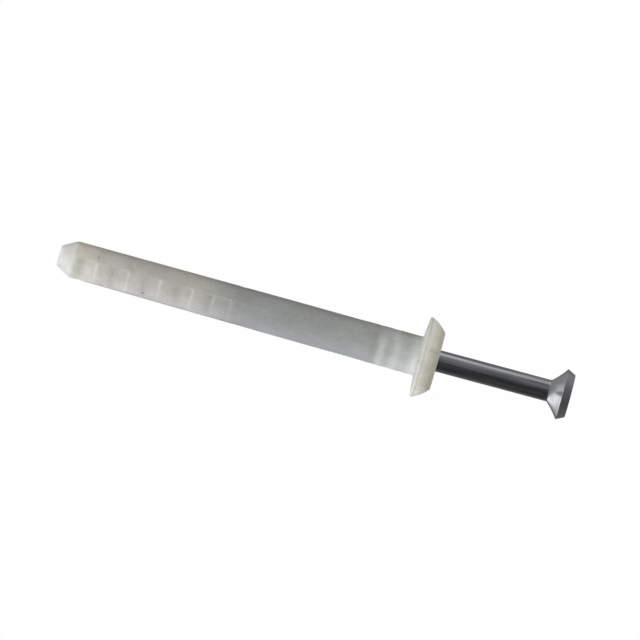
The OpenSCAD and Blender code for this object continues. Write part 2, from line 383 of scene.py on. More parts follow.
def recess_rows(sleeve):
    """The recesses, each as its start and length along the sleeve, its depth, whether it
    lies below the parting line, and the painted light beside it there. The upper ones
    stand half a pitch on. The last one below runs out: deep at its start, then shallow."""
    starts = np.arange(sleeve.recess_count) * sleeve.recess_pitch + sleeve.recess_from
    length, depth = sleeve.recess_length, sleeve.recess_depth
    runout = sleeve.recess_from + sleeve.recess_count * sleeve.recess_pitch
    rows = [(start, length, depth, True, PAINTED_LIP_LIGHT[k % 2])
            for k, start in enumerate(starts)]
    rows += [(start + sleeve.recess_pitch / 2, length, depth, False, 0)
             for start in starts]
    return rows + [(runout, sleeve.runout_deep, depth, True, PAINTED_RUNOUT_LIGHT),
                   (runout, sleeve.runout_length, sleeve.runout_depth, True,
                    PAINTED_RUNOUT_LIGHT)]


def recess_field(sleeve, x, angle):
    """Depth of the recesses at x and at an angle from the front parting line, which lie
    below it past 180 degrees. Along the axis a recess goes down its ramp and ends at a
    step; round the sleeve it deepens from the parting line and ends at recess_span. Also
    the painted light and shade of the wall, from -1 to 1: painted shade where a ramp
    starts, and below the parting line painted light along each step and, as a bell across
    the wall, along the recess's border at the line, with a fainter trace past the end of
    the slit."""
    along = x + sleeve.length
    fold = np.abs((np.degrees(angle) % 180) - 90)
    below = (np.degrees(angle) % 360) > 180
    limit = 90 - math.degrees(sleeve.recess_span)
    soft = math.degrees(STEP_EDGE / (sleeve.diameter / 2))
    spread = smooth((fold - limit) / (3 * soft) + 0.5) \
        * smooth((90 - fold) / PARTING_FADE)
    growing = CREST_LEAST + (1 - CREST_LEAST) * smooth(
        (fold - CREST_FROM) / CREST_OVER)
    depth = np.zeros(np.broadcast(x, angle).shape)
    light, dark = depth.copy(), depth.copy()
    for start, length, deep, lower, lip in recess_rows(sleeve):
        side = (below == lower) * spread
        ramp = smooth((along - start) / (RAMP_SOFTENING * sleeve.recess_ramp))
        step = smooth((start + length + STEP_EDGE - along) / (2 * STEP_EDGE))
        shown = SHOWN_BELOW if lower else SHOWN_ABOVE
        depth = np.maximum(depth, shown * deep * ramp * step * side)
        strength = side * deep / sleeve.recess_depth
        dark = np.maximum(dark, (PAINTED_SHADE_BELOW if lower else PAINTED_SHADE_ABOVE) * strength
                          * bell(along, start + SHADE_AT, SHADE_WIDTH))
        if not lower:
            continue
        light = np.maximum(light, PAINTED_STEP_LIGHT * strength * growing
                           * bell(along, start + length, CREST_WIDTH))
        lip_from = start + length - LIP_BACK if deep == sleeve.recess_depth \
            else start + sleeve.runout_deep
        lip = lip * smooth((along - lip_from) / LIP_RISE) * smooth(
            (start + length + LIP_PAST - along) / LIP_FALL)
        light = np.maximum(light, below * lip * bell(fold, LIP_AT, LIP_WIDTH))
    trace = smooth((along - sleeve.slit_to) / MM) * smooth(
        (sleeve.slit_to + TRACE_LENGTH - along) / MM)
    light = np.maximum(light, PAINTED_TRACE_LIGHT * below * trace
                       * bell(fold, TRACE_AT, LIP_WIDTH))
    return depth, light - dark


def sink_field(sleeve, x, angle):
    """Depth of the sink marks over the leg roots and the grip rings, at x: arcs that are
    sink_width wide, at half their depth. Also the painted light and shade round the grip
    rings, partly standing for the whiter thick nylon there: for each a light bell beside a
    darker one, which fades out towards the upper back."""
    reach = sleeve.sink_width / 2
    arc_r = (reach ** 2 + sleeve.sink_depth ** 2) / (2 * sleeve.sink_depth)
    grips = [-sleeve.grip_from - k * sleeve.grip_pitch for k in (0, 1)]
    sink = np.zeros(len(x))
    for place in (sleeve.root_sink - sleeve.length, *grips):
        arc = sleeve.sink_depth - arc_r + np.sqrt(
            np.maximum(arc_r ** 2 - (x - place) ** 2, 0))
        sink = np.maximum(sink, np.where(np.abs(x - place) < sleeve.sink_width,
                                         0.5 * arc, 0))
    rings = sum(level * (
        PAINTED_RING_LIGHT * bell(x, grip + RING_LIGHT_AT, RING_LIGHT_WIDTH)
        - PAINTED_RING_SHADE * bell(x, grip + RING_SHADE_AT, RING_SHADE_WIDTH))
        for grip, level in zip(grips, RING_LEVELS))
    towards_front = smooth((0.75 - np.sin(angle + ACROSS)) / 0.6)
    return sink[:, None], rings[:, None] * towards_front


def shank_stations(sleeve):
    """Places of the mesh rows along the slit part, from the tip face: close together
    at the ends of the recesses and their ramps, and exactly on the round ends of the
    slit and the ends of the cone in the bore. Also the numbers of the first and the
    last row of the slit, and the ends of that cone."""
    slit_r = sleeve.slit_width / 2
    ends = slit_r * (1 - np.cos(np.radians([15, 30, 45, 60, 75, 90])))
    starts = sleeve.recess_from + np.arange(2 * sleeve.recess_count + 1) \
        * sleeve.recess_pitch / 2
    marks = np.concatenate([starts, starts + sleeve.recess_ramp,
                            starts[:-1] + sleeve.recess_length,
                            [starts[-1] + sleeve.runout_deep,
                             starts[-1] + sleeve.runout_length]])
    exact = np.concatenate([sleeve.slit_from + ends, sleeve.slit_to - ends])
    shank = stations(sleeve.tip_length + 0.6 * MM, sleeve.slit_to + 0.2 * MM, ROW,
                     marks, 2 * FINE_ROW, FINE_ROW)
    shank = shank[np.min(np.abs(shank[:, None] - exact[None]), axis=1) > 0.02 * MM]
    bore_cone = sleeve.length - sleeve.guide_depth - np.array([0, sleeve.bore_step])
    shank = np.unique(np.concatenate([shank, exact, bore_cone]))
    first = int(np.argmin(np.abs(shank - exact.min())))
    last = int(np.argmin(np.abs(shank - exact.max())))
    return shank, first, last, bore_cone


def collar_outline(sleeve, nail):
    """Outline of the collar from the neck to the guide bore: the fillet, the seat, the
    rim's relief and edge, the dome, an arc about a point of the axis through the rim's
    edge and the border of the flat face, and the countersink, as steep as the cone of
    the nail's head. Also the place where the guide bore starts."""
    rise = sleeve.collar_height - sleeve.collar_edge
    rim, face = sleeve.collar_diameter / 2, sleeve.collar_face / 2
    centre = sleeve.collar_edge + (rise ** 2 + face ** 2 - rim ** 2) / (2 * rise)
    dome_r = math.hypot(rim, sleeve.collar_edge - centre)
    over = np.linspace(math.asin(rim / dome_r), math.asin(face / dome_r), 14)
    dome = np.stack([centre + dome_r * np.cos(over), dome_r * np.sin(over)], 1)
    neck_r = (sleeve.diameter + sleeve.neck_gain) / 2
    seat, guide = sleeve.seat_diameter / 2, sleeve.guide_bore / 2
    head_slope = (nail.head_diameter - nail.diameter) / 2 / nail.head_cone
    bore_top = sleeve.collar_height - (seat - guide) / head_slope
    corners = np.concatenate([
        [(-1.1 * MM, neck_r), (0, neck_r), (0, sleeve.collar_seat / 2),
         (sleeve.collar_relief, rim)], dome,
        [(sleeve.collar_height, seat), (bore_top, guide),
         (bore_top - 0.6 * MM, guide)]])
    # Of the fillet, the seat and the rim, none along the dome, then of the border of
    # the flat face and of the two ends of the countersink
    radii = np.concatenate([[sleeve.collar_fillet, 0.5 * MM, 0.26 * MM, 0.75 * MM],
                            np.zeros(len(dome) - 2), [0.3 * MM, 0.12 * MM, 0.4 * MM]])
    return divided(rounded(corners, radii), ROW), bore_top


def bore_outline(sleeve, nail, start, stop):
    """Outline of the guide bore from start to stop. Where a grip ring stands further
    in than the wall, the radius is that of the ring's round section."""
    x = np.arange(start, stop, -BORE_ROW)
    radius = np.full(len(x), sleeve.guide_bore / 2)
    for k in (0, 1):
        centre = -sleeve.grip_from - k * sleeve.grip_pitch
        reach = np.sqrt(np.maximum(sleeve.grip_radius ** 2 - (x - centre) ** 2, 0))
        ring = nail.diameter / 2 + sleeve.grip_gap + sleeve.grip_radius - reach
        radius = np.where(reach > 0, np.minimum(radius, ring), radius)
    return np.stack([x, radius], 1)


def slit_columns(sleeve, along, radius, outside):
    """Angles of the columns at each row, from the front parting line. A slit lies at
    90 and at 270 degrees, and its two borders at a row stand asin(half the slot's width
    there / radius) from its middle. The columns beside them give way evenly: up to
    GIVE_WAY outside, short of the recesses, and over the whole quarter inside. Also the
    column of the first border, and how many columns further on the other one is."""
    slit_r = sleeve.slit_width / 2
    into = np.minimum(along - sleeve.slit_from, sleeve.slit_to - along)
    cap = np.sqrt(np.clip(slit_r ** 2 - (slit_r - into) ** 2, 1e-12, None))
    half_width = np.where(into < slit_r, cap, slit_r)
    plain = math.asin(slit_r / (sleeve.diameter / 2))
    turned = np.arcsin(np.clip(half_width / np.maximum(radius, 1e-6), 0, 0.9))
    opening = np.where((into > 0) & (radius > 0), turned, plain)[:, None]
    limit = math.pi / 2 - sleeve.recess_span
    near = stations(0, 90, 4.5, [limit * 180 / math.pi, 90], 3.2, 0.8)
    near = near[near > math.degrees(plain) + 0.6]
    inside = np.linspace(0, math.degrees(plain), 4)
    quarter = np.radians(np.concatenate([inside, near]))
    quarter[-1] = math.pi / 2
    offsets = np.concatenate([-quarter[::-1][:-1], quarter])[:-1]
    border = int(np.argmin(np.abs(offsets + plain)))
    wide = int(np.argmin(np.abs(offsets - plain))) - border

    bend = np.abs(offsets)[None]
    most = np.where(outside, GIVE_WAY, math.pi / 2)[:, None]
    fitted = np.where(bend <= plain + 1e-9, bend * opening / plain,
                      opening + (bend - plain) * (most - opening) / (most - plain))
    fitted = np.where(bend > most, bend, fitted) * np.sign(offsets)[None]
    angle = np.concatenate([fitted + math.pi / 2, fitted + 1.5 * math.pi], 1)
    return angle, border, wide


def slit_faces(rows, columns, border, wide, outer, inner):
    """Quads of the sleeve's grid. Between the borders of each slit the cells are left
    out of the outer and the inner rows, given by their first and last, and a wall of
    quads joins the two holes."""
    quads = grid_quads(rows, columns)
    keep = np.ones(quads.shape[:2], bool)
    keep[0] = keep[-1] = False
    walls = []
    for left in (border, columns // 2 + border):
        right = left + wide
        across = np.arange(left, right + 1)
        loops = []
        for low, high in (outer, inner):
            keep[min(low, high):max(low, high), left:right] = False
            way = 1 if high > low else -1
            up = np.arange(low, high + way, way)
            loops.append(np.concatenate([
                up * columns + left, high * columns + across[1:],
                up[::-1][1:] * columns + right, low * columns + across[::-1][1:-1]]))
        walls.append(np.stack([loops[0], np.roll(loops[0], -1),
                               np.roll(loops[1], -1), loops[1]], 1))
    return np.concatenate([quads[keep]] + walls)


def sleeve_surface(sleeve, nail):
    """The sleeve is one grid. Down the rows runs its outline, from the pole of the tip
    face over the cone, the shank, the collar and its dome, into the countersink and
    down the bore to the pole at its end; across the columns runs the angle from the
    front parting line. The radius at a row is less the depth of the recesses and the
    sink marks, and more by the flash, a bell across each parting line."""
    half = sleeve.diameter / 2
    shoulder = half - sleeve.draft_loss / 2
    end = -sleeve.length
    cone_end = end + sleeve.tip_length
    nose = end + sleeve.nose
    guide, spread_bore = sleeve.guide_bore / 2, sleeve.spread_bore / 2
    shank, first, last, bore_cone = shank_stations(sleeve)

    tip = rounded([(end, 0), (end, sleeve.tip_face / 2), (cone_end, shoulder),
                   (cone_end + 0.5 * MM, shoulder)],
                  [sleeve.corner * 0.4, sleeve.corner * 6])
    tip = divided(tip, ROW)[:-1]
    legs = np.stack([end + shank, body_radius(sleeve, shank)], 1)
    neck = np.arange(sleeve.slit_to + 0.5 * MM, sleeve.length - 1.2 * MM, NECK_ROW)
    neck = np.stack([end + neck, body_radius(sleeve, neck)], 1)
    collar, bore_top = collar_outline(sleeve, nail)
    bore = bore_outline(sleeve, nail, bore_top - 0.75 * MM, end + shank[-1] + 0.1 * MM)
    back = shank[::-1]
    inner = np.stack([end + back,
                      np.interp(back, bore_cone[::-1], [spread_bore, guide])], 1)
    inner = inner[back > sleeve.nose + 0.3 * MM]
    bottom = rounded([(nose + 0.25 * MM, spread_bore), (nose, spread_bore), (nose, 0)],
                     [0.2 * MM])
    bottom = divided(bottom, 0.4 * MM)

    outline = np.concatenate([tip, legs, neck, collar, bore, inner, bottom])
    x, radius = outline[:, 0], outline[:, 1]
    along = x + sleeve.length
    collar_start = len(tip) + len(legs) + len(neck)
    outside = np.arange(len(outline)) < collar_start + len(collar) // 2
    inner_end = collar_start + len(collar) + len(bore) + len(shank) - 1
    angle, border, wide = slit_columns(sleeve, along, radius, outside)
    columns = angle.shape[1]

    # glow is the painted light and shade of the recesses, and rings that round the grip
    # rings
    depth, glow = recess_field(sleeve, x[:, None], angle)
    sink, rings = sink_field(sleeve, x, angle)
    on_shank = (outside & (x < -0.7 * MM) & (along > sleeve.tip_length))[:, None]
    depth = np.where(on_shank, np.maximum(depth, sink), 0)
    seam = np.abs((np.degrees(angle) + 90) % 180 - 90) * math.pi / 180 * half
    flash = sleeve.flash * bell(seam, 0, FLASH_WIDTH)
    depth = depth - np.where(on_shank & (depth < 0.02 * MM), flash, 0)
    points = around(x[:, None], radius[:, None] - depth, angle)
    quads = slit_faces(len(x), columns, border, wide,
                       (len(tip) + first, len(tip) + last),
                       (inner_end - first, inner_end - last))

    # Where the nylon is thick, and the place on the axis that its colour is taken
    # from: round the tip it lies nearer the tip face, most at the lower front
    slant = (smooth((sleeve.nose + 3 * MM - along) / (4 * MM))
             * smooth(along / (3 * MM)))[:, None]
    tone = x[:, None] - TIP_SLANT * slant * (1 - np.sin(angle + ACROSS))
    thick = np.maximum(smooth((x + 1.5 * MM) / (2.5 * MM)),
                       smooth((sleeve.nose + 1 * MM - along) / (2 * MM)))
    layers = {
        "own": points.copy(),
        # Painted light and shade, kept as the glow layer
        "glow": np.where(on_shank, glow + rings, 0).ravel(),
        "thick": np.broadcast_to(thick[:, None], angle.shape).ravel(),
        "tone": tone.ravel(),
    }
    return points, quads, pole_fans(len(x), columns), layers


def nail_surface(nail):
    """The nail is one grid too: down the rows its outline from the pole of the point
    over the shank, the fillet, the cone, the land and the struck face, and then the
    outline of the cross recess, which narrows with depth, to the pole of its floor. A
    cross is a radius too: half the wing's width over the sine of the angle from the
    wing, kept between the radii of the core and the wing's end. On the threaded
    length a groove runs round the shank, its depth a saw tooth of the place along the
    axis less the turn."""
    half = nail.diameter / 2
    rim_y = nail.length - nail.head_land
    neck_y = rim_y - nail.head_cone
    head = nail.head_diameter / 2
    face = nail.head_face / 2
    face_edge = face - 0.6 * MM
    part = np.linspace(0, 1, 8)[1:-1, None]
    inward = np.array([[head - half, -nail.head_cone]])
    cone = np.array([[neck_y, half]]) + part * np.array([[nail.head_cone, head - half]])
    cone = cone + 4 * nail.head_hollow * part * (1 - part) * inward \
        / np.linalg.norm(inward)
    corners = np.concatenate([
        [(0, 0), (0, nail.point_end / 2), (nail.point_length, half), (neck_y, half)],
        cone, [(rim_y, head), (nail.length, face), (nail.length, face_edge)]])
    radii = np.concatenate([[0.15 * MM, 3 * MM, 0.7 * nail.head_fillet],
                            np.zeros(len(cone)), [0.09 * MM, 0.13 * MM]])
    outline = divided(rounded(corners, radii, steps=8), 0.6 * MM)
    thread_end = nail.point_length + nail.thread_length
    lower = outline[outline[:, 0] < nail.point_length * 0.3]
    upper = outline[outline[:, 0] > thread_end]
    middle_y = np.arange(lower[-1, 0] + 0.2 * MM, upper[0, 0] - 0.05 * MM, 0.16 * MM)
    middle = np.stack([middle_y, np.interp(middle_y, outline[:, 0], outline[:, 1])], 1)
    outline = np.concatenate([lower, middle, upper])
    eighth = stations(0, 45, 3.0, [11, 27], 2.4, 0.8)
    eighth = eighth[eighth < 44.5]
    quarter = np.concatenate([eighth, [45], 90 - eighth[::-1][:-1]])
    angle = np.radians((quarter[None] + np.array([[0], [90], [180], [270]])).ravel())

    y, radius = outline[:, 0], outline[:, 1]
    place = y[:, None] / nail.thread_pitch - angle[None] / (2 * math.pi)
    tooth = place % 1.0
    groove = smooth(tooth / 0.75) * smooth((1 - tooth) / 0.2)
    fade = smooth((y - 0.5 * nail.point_length) / MM) * smooth((thread_end - y) / MM)
    shank_r = radius[:, None] - nail.thread_depth * groove * fade[:, None]

    fold = np.abs((np.degrees(angle) + 45) % 90 - 45)
    side = nail.cross_wing / 2 / np.maximum(np.sin(np.radians(fold)), 1e-3)
    down = np.linspace(0, 1, 9)[:, None]
    wing = nail.cross_diameter / 2 \
        + (nail.cross_wing / 2 - nail.cross_diameter / 2) * down
    core = nail.cross_core / 2 + (nail.cross_wing / 2 - nail.cross_core / 2) * down
    cross = np.clip(side[None], core, np.maximum(wing, core))
    lip = 0.05 * MM
    mouth = cross[:1] + lip
    blend = np.linspace(0.15, 1, 6)[:, None]
    ring = face_edge * (1 - blend) + mouth * blend
    floor_r = cross[-1:] * np.array([[0.6], [0.0]])
    r = np.concatenate([shank_r, ring, cross, floor_r])
    rows_y = np.concatenate([
        y[:, None], np.full((len(ring), 1), nail.length),
        nail.length - lip * 0.8 - (nail.cross_depth - lip) * down,
        nail.length - nail.cross_depth - np.array([[0.06], [0.1]]) * MM])
    points = around(rows_y, r, angle[None])
    quads = grid_quads(len(r), len(angle))[1:-1].reshape(-1, 4)
    return points, quads, pole_fans(len(r), len(angle)), {"own": points.copy()}


def nail_place(points, nail, sleeve):
    """The nail stands in the guide bore with its point at point_depth, and leans about
    the middle of the grip rings till the end of its shank is lean_gap from the wall."""
    grip_x = -sleeve.grip_from - sleeve.grip_pitch / 2
    play = (sleeve.guide_bore - nail.diameter) / 2 - nail.lean_gap
    shank_end = nail.point_length - nail.point_depth
    lean = math.asin(play / (grip_x - shank_end))
    points = points - np.array([nail.point_depth + grip_x, 0, 0])
    points = points @ np.array(Matrix.Rotation(-lean, 3, "Y")).T
    return points + np.array([grip_x, 0, 0])


def put(tree, kind, at, **values):
    """A node of that kind, with its settings and the values of its sockets."""
    made = tree.nodes.new(kind)
    made.location = (at[0] * 200, at[1] * 200)
    for key, value in values.items():
        if key.startswith("in_"):
            name = key[3:]
            made.inputs[int(name) if name.isdigit() else name.replace("_", " ")] \
                .default_value = value
        else:
            setattr(made, key, value)
    return made


def wire(tree, *pairs):
    """Links pairs of sockets, each given as (node, socket name or number)."""
    for (a, out), (b, into) in pairs:
        tree.links.new(a.outputs[out], b.inputs[into])


def colour(value):
    """A colour with its alpha."""
    return (*value, 1.0)


def new_group(name, vectors, **numbers):
    """A node group with inputs for vectors and for numbers, each with its default, and
    one output, a mask. Also its input and output nodes."""
    group = bpy.data.node_groups.new(name, "ShaderNodeTree")
    face = group.interface
    for key in vectors:
        face.new_socket(key, in_out="INPUT", socket_type="NodeSocketVector")
    for key, value in numbers.items():
        face.new_socket(key, in_out="INPUT",
                        socket_type="NodeSocketFloat").default_value = value
    face.new_socket("Mask", in_out="OUTPUT", socket_type="NodeSocketFloat")
    return (group, put(group, "NodeGroupInput", (-3, 0)),
            put(group, "NodeGroupOutput", (3, 0)))


def grain_group():
    """Grain: noise on stretched coordinates, put through a contrast. It gives the mask
    and the height of a skin: mould texture, drawing marks or dull patches."""
    group, start, end = new_group("Grain", ("Vector", "Stretch"), Scale=1000.0,
                                  Detail=4.0, Low=0.35, High=0.65)
    scaled = put(group, "ShaderNodeVectorMath", (-2, 0), operation="MULTIPLY")
    noise = put(group, "ShaderNodeTexNoise", (-1, 0), noise_dimensions="3D")
    span = put(group, "ShaderNodeMapRange", (1, 0), interpolation_type="SMOOTHSTEP")
    wire(group, ((start, "Vector"), (scaled, 0)), ((start, "Stretch"), (scaled, 1)),
         ((scaled, 0), (noise, "Vector")), ((start, "Scale"), (noise, "Scale")),
         ((start, "Detail"), (noise, "Detail")), ((noise, "Fac"), (span, "Value")),
         ((start, "Low"), (span, "From Min")), ((start, "High"), (span, "From Max")),
         ((span, "Result"), (end, "Mask")))


def speck_group():
    """Speck: 1 within half of the size of a place, 0 beyond it, on stretched
    coordinates."""
    group, start, end = new_group("Speck", ("Vector", "Place", "Stretch"), Size=0.0)
    offset = put(group, "ShaderNodeVectorMath", (-2, 0), operation="SUBTRACT")
    scaled = put(group, "ShaderNodeVectorMath", (-1, 0), operation="MULTIPLY")
    far = put(group, "ShaderNodeVectorMath", (0, 0), operation="LENGTH")
    part = put(group, "ShaderNodeMath", (1, 0), operation="DIVIDE")
    fall = put(group, "ShaderNodeMapRange", (2, 0), interpolation_type="SMOOTHSTEP",
               in_From_Min=1.0, in_From_Max=0.3)
    wire(group, ((start, "Vector"), (offset, 0)), ((start, "Place"), (offset, 1)),
         ((offset, 0), (scaled, 0)), ((start, "Stretch"), (scaled, 1)),
         ((scaled, 0), (far, 0)), ((far, "Value"), (part, 0)),
         ((start, "Size"), (part, 1)), ((part, 0), (fall, "Value")),
         ((fall, "Result"), (end, "Mask")))


def empty_tree(owner):
    """The node tree of a material or a world, without its nodes."""
    owner.use_nodes = True
    owner.node_tree.nodes.clear()
    return owner.node_tree


def linked(name, data):
    """An object of that data, in the scene."""
    made = bpy.data.objects.new(name, data)
    bpy.context.scene.collection.objects.link(made)
    return made


def new_material(name):
    """A node material with its Principled shader and output."""
    material = bpy.data.materials.new(name)
    tree = empty_tree(material)
    shader = put(tree, "ShaderNodeBsdfPrincipled", (6, 0))
    output = put(tree, "ShaderNodeOutputMaterial", (8, 0))
    wire(tree, ((shader, "BSDF"), (output, "Surface")))
    return material, tree, shader


def mask(tree, group, source, at, **values):
    """The mask of a node group that a vector feeds."""
    made = put(tree, "ShaderNodeGroup", at, node_tree=bpy.data.node_groups[group])
    for key, value in values.items():
        made.inputs[key].default_value = value
    tree.links.new(source, made.inputs["Vector"])
    return made.outputs["Mask"]


def mixed(tree, at, share_of_high, low, high, blend="MIX"):
    """Mixes two colours, each a value or a socket, by a mask socket or a number."""
    made = put(tree, "ShaderNodeMix", at, data_type="RGBA", blend_type=blend)
    for socket, value in ((0, share_of_high), (6, low), (7, high)):
        if isinstance(value, bpy.types.NodeSocket):
            tree.links.new(value, made.inputs[socket])
        elif isinstance(value, (int, float)):
            made.inputs[socket].default_value = value
        else:
            made.inputs[socket].default_value = colour(value)
    return made.outputs[2]


def attribute(tree, name, at):
    """The values of a named layer of the mesh."""
    return put(tree, "ShaderNodeAttribute", at, attribute_name=name).outputs["Fac"]


def span(tree, source, at, low, high, to_low=0.0, to_high=1.0):
    """A smooth step of a value between low and high."""
    made = put(tree, "ShaderNodeMapRange", at, interpolation_type="SMOOTHSTEP",
               in_From_Min=low, in_From_Max=high, in_To_Min=to_low, in_To_Max=to_high)
    tree.links.new(source, made.inputs["Value"])
    return made.outputs["Result"]


def sums(tree, at, operation, a, b):
    """A Math node of two values, each a socket or a number."""
    made = put(tree, "ShaderNodeMath", at, operation=operation)
    for socket, value in ((0, a), (1, b)):
        if isinstance(value, bpy.types.NodeSocket):
            tree.links.new(value, made.inputs[socket])
        else:
            made.inputs[socket].default_value = value
    return made.outputs[0]


def seen_rays(tree, at):
    """1 on camera, glossy and transmission rays, and 0 on those that carry light."""
    rays = put(tree, "ShaderNodeLightPath", at)
    through = sums(tree, (at[0] + 1, at[1] - 1), "MAXIMUM",
                   rays.outputs["Is Glossy Ray"], rays.outputs["Is Transmission Ray"])
    return sums(tree, (at[0] + 2, at[1]), "MAXIMUM", rays.outputs["Is Camera Ray"],
                through)


def ramp(tree, source, at, stops):
    """A colour ramp over a length: `stops` are (place, colour) in rising order."""
    low, high = stops[0][0], stops[-1][0]
    scale = put(tree, "ShaderNodeMapRange", at, in_From_Min=low, in_From_Max=high)
    made = put(tree, "ShaderNodeValToRGB", (at[0] + 1, at[1]))
    made.color_ramp.interpolation = "EASE"
    elements = made.color_ramp.elements
    for place, value in stops[1:-1]:
        elements.new((place - low) / (high - low))
    for element, (place, value) in zip(elements, stops):
        element.position = (place - low) / (high - low)
        element.color = colour(value)
    wire(tree, ((scale, "Result"), (made, "Fac")))
    tree.links.new(source, scale.inputs["Value"])
    return made.outputs["Color"]


def nylon_along(look, sleeve, nail):
    """Colour of the nylon at places on the sleeve's own axis: grey on the tip's flat, as
    painted shade, whitest on its cone, darker over the bore, greyest over the nail,
    lighter again round the grip rings, with painted light where the sleeve meets the
    collar, and in the collar dark at the rim and bright on the dome."""
    tip, point = -sleeve.length, -nail.point_depth
    ring = -sleeve.grip_from - sleeve.grip_pitch
    cone, nose = tip + sleeve.tip_length, tip + sleeve.nose
    rim = sleeve.collar_edge
    warm, dome, below = (
        tuple(level * part for part in nylon) for level, nylon in (
            (1.07, look.nylon), (0.94, look.nylon_collar), (0.86, look.nylon_rim)))
    between = tuple(0.82 * a + 0.18 * b
                    for a, b in zip(look.nylon_nail, look.nylon_neck))
    return [
        # The tip's flat takes the dark nylon over the nail as painted shade
        (tip, look.nylon_nail), (tip + 0.2 * MM, look.nylon_tip),
        (cone - 0.5 * MM, look.nylon_tip), (cone + 0.4 * MM, look.nylon_nose),
        (nose - 0.5 * MM, look.nylon_nose), (nose + 5 * MM, warm),
        (nose + 15 * MM, look.nylon), (point - 9 * MM, look.nylon),
        (point + 3 * MM, look.nylon_nail), (point + 15 * MM, look.nylon_nail),
        (ring - 1.5 * MM, between), (ring + 4 * MM, look.nylon_neck),
        # At -0.6 mm painted light where the sleeve meets the collar
        (-2.6 * MM, look.nylon_neck), (-0.6 * MM, look.nylon_painted_light),
        (0.4 * rim, below), (0.9 * rim, look.nylon_rim), (1.6 * rim, look.nylon_collar),
        (2.8 * rim, dome), (sleeve.collar_height, look.nylon_face)]


# Shares of the painted light and shade and of the patterns in the nylon's colour, and how
# far light goes into it where its wall is thin and where it is thick
PAINTED_LIGHT_SHARE, PAINTED_SHADE_SHARE, PATTERN_SHARE = 0.40, 0.28, 0.4
SCATTER_SHARE, SCATTER_DEPTH = (0.25, 1.0), (1 * MM, 4 * MM)
FLOOR_GLOW = 0.985   # share of the floor's look that is even white
# Dark specks in the nylon, the sixth of them painted shade at the top corner of the
# collar's rim and the last a stretch of the dome's parting line: place on the sleeve,
# stretch, radius and strength
SPECKS = (
    ((-0.05759, -0.00195, -0.00334), (1, 1, 1), 0.00036, 0.75),
    ((-0.07227, -0.00250, -0.00286), (1, 1, 1), 0.00026, 0.30),
    ((-0.06452, -0.00351, -0.00155), (1, 1, 1), 0.00034, 0.22),
    ((-0.07188, -0.00378, -0.00037), (1, 1, 1), 0.00022, 0.22),
    ((-0.06807, -0.00369, 0.00099), (2.2, 1, 0.7), 0.00050, 0.30),
    # painted shade at the top corner of the collar's rim
    ((0.00046, -0.00186, 0.00819), (1, 1, 1), 0.00055, 0.70),
    ((0.0022, -0.0080, 0.0000), (0.14, 0.1, 1.6), 0.00030, 0.11),
)


def nylon_material(look, sleeve, nail):
    """Natural nylon: its colour runs along the sleeve with what is inside it, clouded a
    little, with lines of painted light and painted shade where the wall steps and round
    the grip rings, a few specks, one of them painted shade, and a fine mould texture.
    Light goes deeper where the nylon is thick."""
    material, tree, shader = new_material("natural_nylon")
    own = put(tree, "ShaderNodeAttribute", (-6, 0), attribute_name="own")
    vector = own.outputs["Vector"]
    cloud = mask(tree, "Grain", vector, (-4, 3), Stretch=(0.7, 1, 1), Scale=420.0,
                 Detail=4.0, Low=0.30, High=0.70)
    fine = mask(tree, "Grain", vector, (-4, 5), Stretch=(0.8, 1, 1), Scale=1500.0,
                Detail=2.0, Low=0.30, High=0.70)
    skin = mask(tree, "Grain", vector, (-4, -3), Stretch=(1, 1, 1), Scale=2600.0,
                Detail=3.0, Low=0.25, High=0.75)
    base = ramp(tree, attribute(tree, "tone", (-5, 1)), (-3, 1),
                nylon_along(look, sleeve, nail))
    # The glow layer is painted light above 0 and painted shade below 0, mixed into the
    # colour
    glow = attribute(tree, "glow", (-3, -0.5))
    base = mixed(tree, (0, 1), sums(tree, (-1, 0), "MULTIPLY", glow, PAINTED_LIGHT_SHARE), base,
                 look.nylon_painted_light)
    base = mixed(tree, (1, 1), sums(tree, (0, 0), "MULTIPLY", glow, -PAINTED_SHADE_SHARE), base,
                 look.nylon_painted_shade)
    for at, pattern, dark in ((3, cloud, (0.80, 0.80, 0.78)),
                              (4, fine, (0.80, 0.80, 0.80))):
        base = mixed(tree, (at, 1), PATTERN_SHARE, base,
                     mixed(tree, (at - 1, 2), pattern, dark, (1, 1, 1)), "MULTIPLY")
    for step, (place, stretch, radius, strength) in enumerate(SPECKS):
        speck = mask(tree, "Speck", vector, (step, 7), Place=place, Stretch=stretch,
                     Size=radius)
        part = sums(tree, (step, 5), "MULTIPLY", speck, strength)
        base = mixed(tree, (step, 6), part, base, (0.03, 0.03, 0.03))
    bump = put(tree, "ShaderNodeBump", (4, -2), in_Strength=0.25,
               in_Distance=0.03 * MM)
    thick = attribute(tree, "thick", (3, -1))
    for source, socket in (
            (base, "Base Color"),
            (span(tree, thick, (4, -1), 0.0, 1.0, *SCATTER_SHARE), "Subsurface Weight"),
            (span(tree, thick, (4, -3), 0.0, 1.0, *SCATTER_DEPTH), "Subsurface Scale"),
            (bump.outputs[0], "Normal")):
        tree.links.new(source, shader.inputs[socket])
    tree.links.new(skin, bump.inputs["Height"])
    shader.inputs["Roughness"].default_value = look.nylon_roughness
    shader.inputs["Specular IOR Level"].default_value = look.nylon_gloss
    shader.inputs["IOR"].default_value = 1.53
    shader.inputs["Subsurface Radius"].default_value = (1.0, 0.97, 0.9)
    return material


